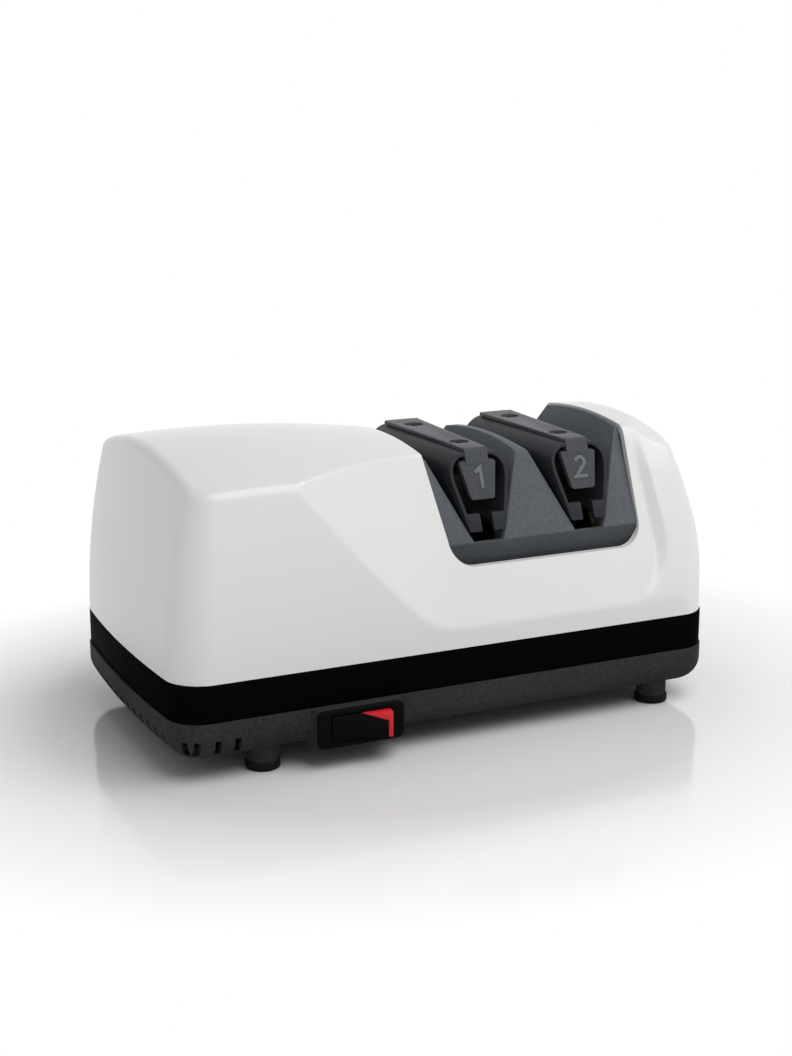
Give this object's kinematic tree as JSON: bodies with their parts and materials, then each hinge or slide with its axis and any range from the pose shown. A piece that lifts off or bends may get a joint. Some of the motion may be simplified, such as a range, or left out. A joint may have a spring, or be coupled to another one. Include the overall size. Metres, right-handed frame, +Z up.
{
  "type": "electric knife sharpener",
  "caption": "Bench knife sharpener with a moulded motor housing, numbered V-guide stages with arched springs, conical abrasive discs on a motor shaft and a rocker switch.",
  "frame": {"origin": "middle of the footprint, on the surface that the rubber feet stand on", "axes": "+X along the length from the motor end to the stages, +Y from the switch side to the rear, +Z up"},
  "size_m": [0.204, 0.1244, 0.1012],
  "materials": {
    "shell": "smooth gloss white moulding",
    "band": "gloss black",
    "base": "charcoal, fine matte grain",
    "rubber": "matte black",
    "tray": "dark grey, fine grain",
    "spring": "smooth charcoal",
    "strip": "dark grey, fine grain",
    "plate": "dark grey, fine grain",
    "disc": "gold-coloured abrasive on steel",
    "steel": "plain steel",
    "lamination": "stacked laminations",
    "bracket": "die-cast",
    "bearing": "sintered bronze",
    "coil": "enamelled copper",
    "fan": "plain",
    "switch": "satin black",
    "flag": "bright red",
    "inlet": "black"
  },
  "bodies": {
    "housing": {"housing_shell": "shell", "trim_band": "band", "base_tray": "base", "rubber_feet": "rubber", "guide_tray": "tray", "guide_spring_1": "spring", "guide_spring_2": "spring", "clamp_strip_1": "strip", "clamp_strip_2": "strip", "stage_bridge_1": "plate", "stage_bridge_2": "plate", "foot_screws": "steel", "housing_screws": "steel", "spring_screws": "steel", "motor_screws": "steel", "switch_terminals": "steel", "stator_core": "lamination", "bearing_bracket_left": "bracket", "bearing_bracket_right": "bracket", "outboard_bracket": "bracket", "sleeve_bearings": "bearing", "outboard_bearing": "bearing", "field_coil": "coil", "switch_bezel": "switch", "switch_body": "switch", "cord_inlet": "inlet"},
    "rotor": {"motor_shaft": "steel", "rotor_core": "lamination", "cooling_fan": "fan", "drive_pins": "steel", "shaft_collars": "steel", "disc_spring_1_left": "steel", "disc_spring_1_right": "steel", "disc_spring_2_left": "steel", "disc_spring_2_right": "steel"},
    "rocker": {"switch_rocker": "switch", "rocker_flag": "flag"},
    "disc_1_left": {"disc_1_left": "disc"},
    "disc_1_right": {"disc_1_right": "disc"},
    "disc_2_left": {"disc_2_left": "disc"},
    "disc_2_right": {"disc_2_right": "disc"}
  },
  "joints": [
    {"name": "rotor_spin", "type": "hinge", "parent": "housing", "child": "rotor", "pos_m": [0, 0, 0.0457], "axis": [1, 0, 0], "continuous": true},
    {"name": "rocker_tip", "type": "hinge", "parent": "housing", "child": "rocker", "pos_m": [-0.0395, -0.05785, 0.0136], "axis": [0, 0, 1], "range_deg": [0, 16]},
    {"name": "disc_1_left_slide", "type": "slide", "parent": "rotor", "child": "disc_1_left", "axis": [-1, 0, 0], "range_m": [0, 0.0015], "stiffness_N_per_m": 800, "springref_m": -0.002, "deforming": ["disc_spring_1_left"]},
    {"name": "disc_1_right_slide", "type": "slide", "parent": "rotor", "child": "disc_1_right", "axis": [1, 0, 0], "range_m": [0, 0.0015], "stiffness_N_per_m": 800, "springref_m": -0.002, "deforming": ["disc_spring_1_right"]},
    {"name": "disc_2_left_slide", "type": "slide", "parent": "rotor", "child": "disc_2_left", "axis": [-1, 0, 0], "range_m": [0, 0.0015], "stiffness_N_per_m": 800, "springref_m": -0.002, "deforming": ["disc_spring_2_left"]},
    {"name": "disc_2_right_slide", "type": "slide", "parent": "rotor", "child": "disc_2_right", "axis": [1, 0, 0], "range_m": [0, 0.0015], "stiffness_N_per_m": 800, "springref_m": -0.002, "deforming": ["disc_spring_2_right"]}
  ]
}
